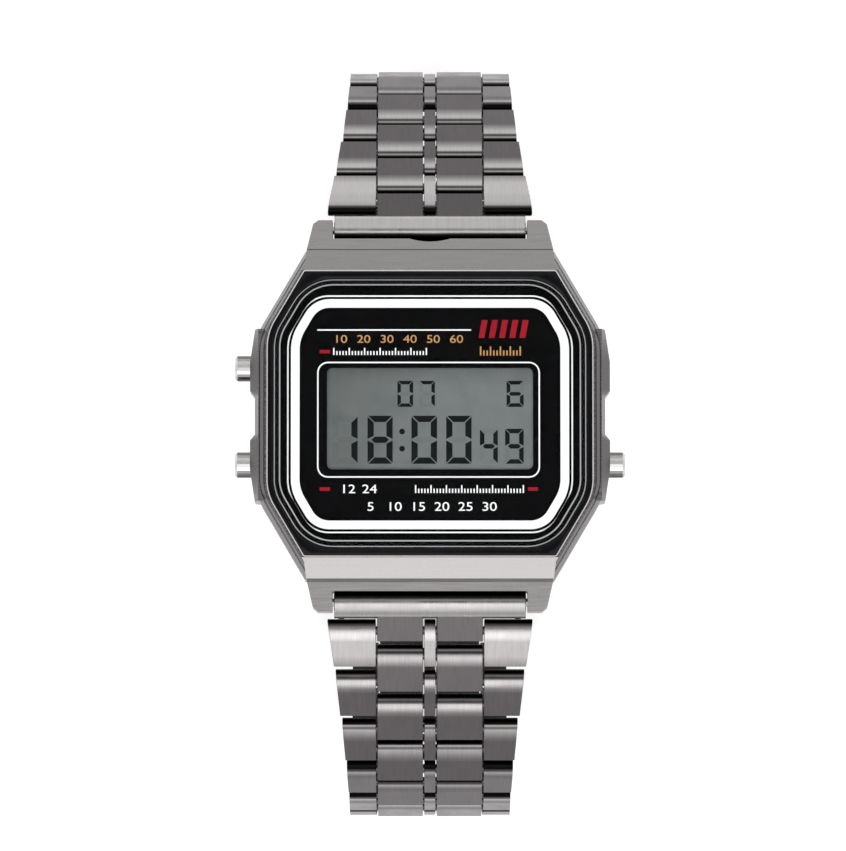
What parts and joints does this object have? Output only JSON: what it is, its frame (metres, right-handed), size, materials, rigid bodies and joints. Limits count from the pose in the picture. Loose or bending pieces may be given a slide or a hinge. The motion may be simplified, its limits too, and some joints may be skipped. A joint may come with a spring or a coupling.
{
  "type": "digital wristwatch",
  "caption": "Digital wristwatch with an eight-sided case, push-buttons, liquid crystal display and five-piece steel link bracelet closed by a sliding fold-over clasp.",
  "frame": {"origin": "centre of the case back's outer face", "axes": "+Z out of the dial, +Y to 12 o'clock, +X to 3 o'clock; the closed bracelet loop hangs below the case and the watch stands on the flat panel of its clasp cover"},
  "size_m": [0.0362, 0.0716, 0.0559],
  "materials": {
    "case_metal": "brushed gunmetal-plated case",
    "link_metal": "brushed gunmetal-plated links",
    "polished_metal": "polished steel push-buttons",
    "plain_steel": "bare brushed steel",
    "black_resin": "glossy black resin bezel",
    "mask_print": "black printed dial plate",
    "ring_white": "white printed ring",
    "crystal_glass": "clear polished crystal",
    "lcd_glass": "grey-green liquid crystal display",
    "board_green": "circuit board",
    "module_plastic": "moulded module frame",
    "elastomer": "black rubber",
    "strip_rubber": "striped contact rubber",
    "brass": "thin brass disc",
    "lamp_clear": "amber lamp lens"
  },
  "bodies": {
    "case": {"case_middle": "case_metal", "bezel_frame": "black_resin", "crystal": "crystal_glass", "accent_ring": "ring_white", "dial_mask": "mask_print", "lcd_panel": "lcd_glass", "contact_strips": "strip_rubber", "module_frame": "module_plastic", "circuit_board": "board_green", "led_lamp": "lamp_clear", "battery": "plain_steel", "battery_clip": "plain_steel", "buzzer": "brass", "back_gasket": "elastomer", "case_back": "plain_steel", "back_screws": "plain_steel", "button_light_spring": "plain_steel", "button_mode_spring": "plain_steel", "button_start_spring": "plain_steel", "button_seals": "elastomer", "upper_spring_bar": "plain_steel", "lower_spring_bar": "plain_steel"},
    "button_light": {"button_light": "polished_metal"},
    "button_mode": {"button_mode": "polished_metal"},
    "button_start": {"button_start": "polished_metal"},
    "upper_end": {"upper_end_piece": "link_metal"},
    "upper_row_01": {"upper_row_01": "link_metal"},
    "upper_row_02": {"upper_row_02": "link_metal"},
    "upper_row_03": {"upper_row_03": "link_metal"},
    "upper_row_04": {"upper_row_04": "link_metal"},
    "upper_row_05": {"upper_row_05": "link_metal"},
    "upper_row_06": {"upper_row_06": "link_metal"},
    "upper_row_07": {"upper_row_07": "link_metal"},
    "upper_row_08": {"upper_row_08": "link_metal"},
    "upper_row_09": {"upper_row_09": "link_metal"},
    "upper_row_10": {"upper_row_10": "link_metal"},
    "upper_row_11": {"upper_row_11": "link_metal"},
    "upper_row_12": {"upper_row_12": "link_metal"},
    "upper_tail": {"upper_tail": "link_metal"},
    "lower_end": {"lower_end_piece": "link_metal"},
    "lower_row_01": {"lower_row_01": "link_metal"},
    "lower_row_02": {"lower_row_02": "link_metal"},
    "lower_row_03": {"lower_row_03": "link_metal"},
    "lower_row_04": {"lower_row_04": "link_metal"},
    "lower_row_05": {"lower_row_05": "link_metal"},
    "lower_row_06": {"lower_row_06": "link_metal"},
    "lower_row_07": {"lower_row_07": "link_metal"},
    "lower_row_08": {"lower_row_08": "link_metal"},
    "lower_row_09": {"lower_row_09": "link_metal"},
    "lower_row_10": {"lower_row_10": "link_metal"},
    "lower_row_11": {"lower_row_11": "link_metal"},
    "lower_row_12": {"lower_row_12": "link_metal"},
    "lower_row_13": {"lower_row_13": "link_metal"},
    "clasp_base": {"clasp_base": "link_metal", "blade_pin": "plain_steel"},
    "clasp_lock_plate": {"clasp_lock_plate": "plain_steel"},
    "clasp_blade": {"clasp_blade": "plain_steel"},
    "clasp_cover": {"clasp_cover": "link_metal", "cover_pin": "plain_steel"}
  },
  "joints": [
    {"name": "button_light_press", "type": "slide", "parent": "case", "child": "button_light", "axis": [1, 0, 0], "range_m": [0, 0.0006], "stiffness_N_per_m": 1500, "springref_m": -0.0006, "deforming": ["button_light_spring"]},
    {"name": "button_mode_press", "type": "slide", "parent": "case", "child": "button_mode", "axis": [1, 0, 0], "range_m": [0, 0.0006], "stiffness_N_per_m": 1500, "springref_m": -0.0006, "deforming": ["button_mode_spring"]},
    {"name": "button_start_press", "type": "slide", "parent": "case", "child": "button_start", "axis": [-1, 0, 0], "range_m": [0, 0.0006], "stiffness_N_per_m": 1500, "springref_m": -0.0006, "deforming": ["button_start_spring"]},
    {"name": "upper_strand_unroll", "type": "hinge", "parent": "case", "child": "upper_end", "pos_m": [0, 0.01735, 0.0041], "axis": [1, 0, 0], "range_deg": [0, 23.6]},
    {"name": "upper_row_01_hinge", "type": "hinge", "parent": "upper_end", "child": "upper_row_01", "pos_m": [0, 0.01987, 0.003], "axis": [1, 0, 0], "range_deg": [0, 18.9]},
    {"name": "upper_row_02_hinge", "type": "hinge", "parent": "upper_row_01", "child": "upper_row_02", "pos_m": [0, 0.02356, -0.00038], "axis": [1, 0, 0], "range_deg": [0, 1.5]},
    {"name": "upper_row_03_hinge", "type": "hinge", "parent": "upper_row_02", "child": "upper_row_03", "pos_m": [0, 0.02715, -0.00385], "axis": [1, 0, 0], "range_deg": [0, 4]},
    {"name": "upper_row_04_hinge", "type": "hinge", "parent": "upper_row_03", "child": "upper_row_04", "pos_m": [0, 0.0305, -0.00757], "axis": [1, 0, 0], "range_deg": [0, 14]},
    {"name": "upper_row_05_hinge", "type": "hinge", "parent": "upper_row_04", "child": "upper_row_05", "pos_m": [0, 0.03285, -0.01198], "axis": [1, 0, 0], "range_deg": [0, 13.5]},
    {"name": "upper_row_06_hinge", "type": "hinge", "parent": "upper_row_05", "child": "upper_row_06", "pos_m": [0, 0.0341, -0.01682], "axis": [1, 0, 0], "range_deg": [0, 13]},
    {"name": "upper_row_07_hinge", "type": "hinge", "parent": "upper_row_06", "child": "upper_row_07", "pos_m": [0, 0.03423, -0.02182], "axis": [1, 0, 0], "range_deg": [0, 2.6]},
    {"name": "upper_row_08_hinge", "type": "hinge", "parent": "upper_row_07", "child": "upper_row_08", "pos_m": [0, 0.03413, -0.02682], "axis": [1, 0, 0], "range_deg": [0, 7]},
    {"name": "upper_row_09_hinge", "type": "hinge", "parent": "upper_row_08", "child": "upper_row_09", "pos_m": [0, 0.03343, -0.03177], "axis": [1, 0, 0], "range_deg": [0, 12.9]},
    {"name": "upper_row_10_hinge", "type": "hinge", "parent": "upper_row_09", "child": "upper_row_10", "pos_m": [0, 0.03164, -0.03644], "axis": [1, 0, 0], "range_deg": [0, 17.3]},
    {"name": "upper_row_11_hinge", "type": "hinge", "parent": "upper_row_10", "child": "upper_row_11", "pos_m": [0, 0.02854, -0.04036], "axis": [1, 0, 0], "range_deg": [0, 19.1]},
    {"name": "upper_row_12_hinge", "type": "hinge", "parent": "upper_row_11", "child": "upper_row_12", "pos_m": [0, 0.02433, -0.04306], "axis": [1, 0, 0], "range_deg": [0, 18.2]},
    {"name": "upper_tail_hinge", "type": "hinge", "parent": "upper_row_12", "child": "upper_tail", "pos_m": [0, 0.01948, -0.0443], "axis": [1, 0, 0], "range_deg": [0, 14.4]},
    {"name": "lower_strand_unroll", "type": "hinge", "parent": "case", "child": "lower_end", "pos_m": [0, -0.01735, 0.0041], "axis": [-1, 0, 0], "range_deg": [0, 23.6]},
    {"name": "lower_row_01_hinge", "type": "hinge", "parent": "lower_end", "child": "lower_row_01", "pos_m": [0, -0.01987, 0.003], "axis": [-1, 0, 0], "range_deg": [0, 0.8]},
    {"name": "lower_row_02_hinge", "type": "hinge", "parent": "lower_row_01", "child": "lower_row_02", "pos_m": [0, -0.02442, 0.00093], "axis": [-1, 0, 0], "range_deg": [0, 5.2]},
    {"name": "lower_row_03_hinge", "type": "hinge", "parent": "lower_row_02", "child": "lower_row_03", "pos_m": [0, -0.02877, -0.00154], "axis": [-1, 0, 0], "range_deg": [0, 14.3]},
    {"name": "lower_row_04_hinge", "type": "hinge", "parent": "lower_row_03", "child": "lower_row_04", "pos_m": [0, -0.03237, -0.005], "axis": [-1, 0, 0], "range_deg": [0, 19.6]},
    {"name": "lower_row_05_hinge", "type": "hinge", "parent": "lower_row_04", "child": "lower_row_05", "pos_m": [0, -0.0346, -0.00948], "axis": [-1, 0, 0], "range_deg": [0, 15]},
    {"name": "lower_row_06_hinge", "type": "hinge", "parent": "lower_row_05", "child": "lower_row_06", "pos_m": [0, -0.0356, -0.01438], "axis": [-1, 0, 0], "range_deg": [0, 12.5]},
    {"name": "lower_row_07_hinge", "type": "hinge", "parent": "lower_row_06", "child": "lower_row_07", "pos_m": [0, -0.03551, -0.01938], "axis": [-1, 0, 0], "range_deg": [0, 2.8]},
    {"name": "lower_row_08_hinge", "type": "hinge", "parent": "lower_row_07", "child": "lower_row_08", "pos_m": [0, -0.03518, -0.02437], "axis": [-1, 0, 0], "range_deg": [0, 6.2]},
    {"name": "lower_row_09_hinge", "type": "hinge", "parent": "lower_row_08", "child": "lower_row_09", "pos_m": [0, -0.03431, -0.02929], "axis": [-1, 0, 0], "range_deg": [0, 9.9]},
    {"name": "lower_row_10_hinge", "type": "hinge", "parent": "lower_row_09", "child": "lower_row_10", "pos_m": [0, -0.03261, -0.03399], "axis": [-1, 0, 0], "range_deg": [0, 13]},
    {"name": "lower_row_11_hinge", "type": "hinge", "parent": "lower_row_10", "child": "lower_row_11", "pos_m": [0, -0.0299, -0.03819], "axis": [-1, 0, 0], "range_deg": [0, 14.8]},
    {"name": "lower_row_12_hinge", "type": "hinge", "parent": "lower_row_11", "child": "lower_row_12", "pos_m": [0, -0.0262, -0.04155], "axis": [-1, 0, 0], "range_deg": [0, 15.4]},
    {"name": "lower_row_13_hinge", "type": "hinge", "parent": "lower_row_12", "child": "lower_row_13", "pos_m": [0, -0.02174, -0.04382], "axis": [-1, 0, 0], "range_deg": [0, 14.6]},
    {"name": "clasp_slide", "type": "slide", "parent": "upper_tail", "child": "clasp_base", "axis": [0, 1, 0], "range_m": [0, 0.005]},
    {"name": "lock_plate_hinge", "type": "hinge", "parent": "clasp_base", "child": "clasp_lock_plate", "pos_m": [0, -0.0029, -0.0423], "axis": [-1, 0, 0], "range_deg": [0, 95]},
    {"name": "blade_hinge", "type": "hinge", "parent": "clasp_base", "child": "clasp_blade", "pos_m": [0, -0.0127, -0.04593], "axis": [-1, 0, 0], "range_deg": [0, 115]},
    {"name": "cover_hinge", "type": "hinge", "parent": "clasp_blade", "child": "clasp_cover", "pos_m": [0, 0.011, -0.04623], "axis": [1, 0, 0], "range_deg": [0, 150]}
  ],
  "couplings": [
    {"joint": "upper_row_01_hinge", "follows": "upper_strand_unroll", "ratio": 0.80085},
    {"joint": "upper_row_02_hinge", "follows": "upper_strand_unroll", "ratio": 0.063559},
    {"joint": "upper_row_03_hinge", "follows": "upper_strand_unroll", "ratio": 0.16949},
    {"joint": "upper_row_04_hinge", "follows": "upper_strand_unroll", "ratio": 0.59322},
    {"joint": "upper_row_05_hinge", "follows": "upper_strand_unroll", "ratio": 0.57203},
    {"joint": "upper_row_06_hinge", "follows": "upper_strand_unroll", "ratio": 0.55085},
    {"joint": "upper_row_07_hinge", "follows": "upper_strand_unroll", "ratio": 0.11017},
    {"joint": "upper_row_08_hinge", "follows": "upper_strand_unroll", "ratio": 0.29661},
    {"joint": "upper_row_09_hinge", "follows": "upper_strand_unroll", "ratio": 0.54661},
    {"joint": "upper_row_10_hinge", "follows": "upper_strand_unroll", "ratio": 0.73305},
    {"joint": "upper_row_11_hinge", "follows": "upper_strand_unroll", "ratio": 0.80932},
    {"joint": "upper_row_12_hinge", "follows": "upper_strand_unroll", "ratio": 0.77119},
    {"joint": "upper_tail_hinge", "follows": "upper_strand_unroll", "ratio": 0.61017},
    {"joint": "lower_row_01_hinge", "follows": "lower_strand_unroll", "ratio": 0.033898},
    {"joint": "lower_row_02_hinge", "follows": "lower_strand_unroll", "ratio": 0.22034},
    {"joint": "lower_row_03_hinge", "follows": "lower_strand_unroll", "ratio": 0.60593},
    {"joint": "lower_row_04_hinge", "follows": "lower_strand_unroll", "ratio": 0.83051},
    {"joint": "lower_row_05_hinge", "follows": "lower_strand_unroll", "ratio": 0.63559},
    {"joint": "lower_row_06_hinge", "follows": "lower_strand_unroll", "ratio": 0.52966},
    {"joint": "lower_row_07_hinge", "follows": "lower_strand_unroll", "ratio": 0.11864},
    {"joint": "lower_row_08_hinge", "follows": "lower_strand_unroll", "ratio": 0.26271},
    {"joint": "lower_row_09_hinge", "follows": "lower_strand_unroll", "ratio": 0.41949},
    {"joint": "lower_row_10_hinge", "follows": "lower_strand_unroll", "ratio": 0.55085},
    {"joint": "lower_row_11_hinge", "follows": "lower_strand_unroll", "ratio": 0.62712},
    {"joint": "lower_row_12_hinge", "follows": "lower_strand_unroll", "ratio": 0.65254},
    {"joint": "lower_row_13_hinge", "follows": "lower_strand_unroll", "ratio": 0.61864}
  ]
}
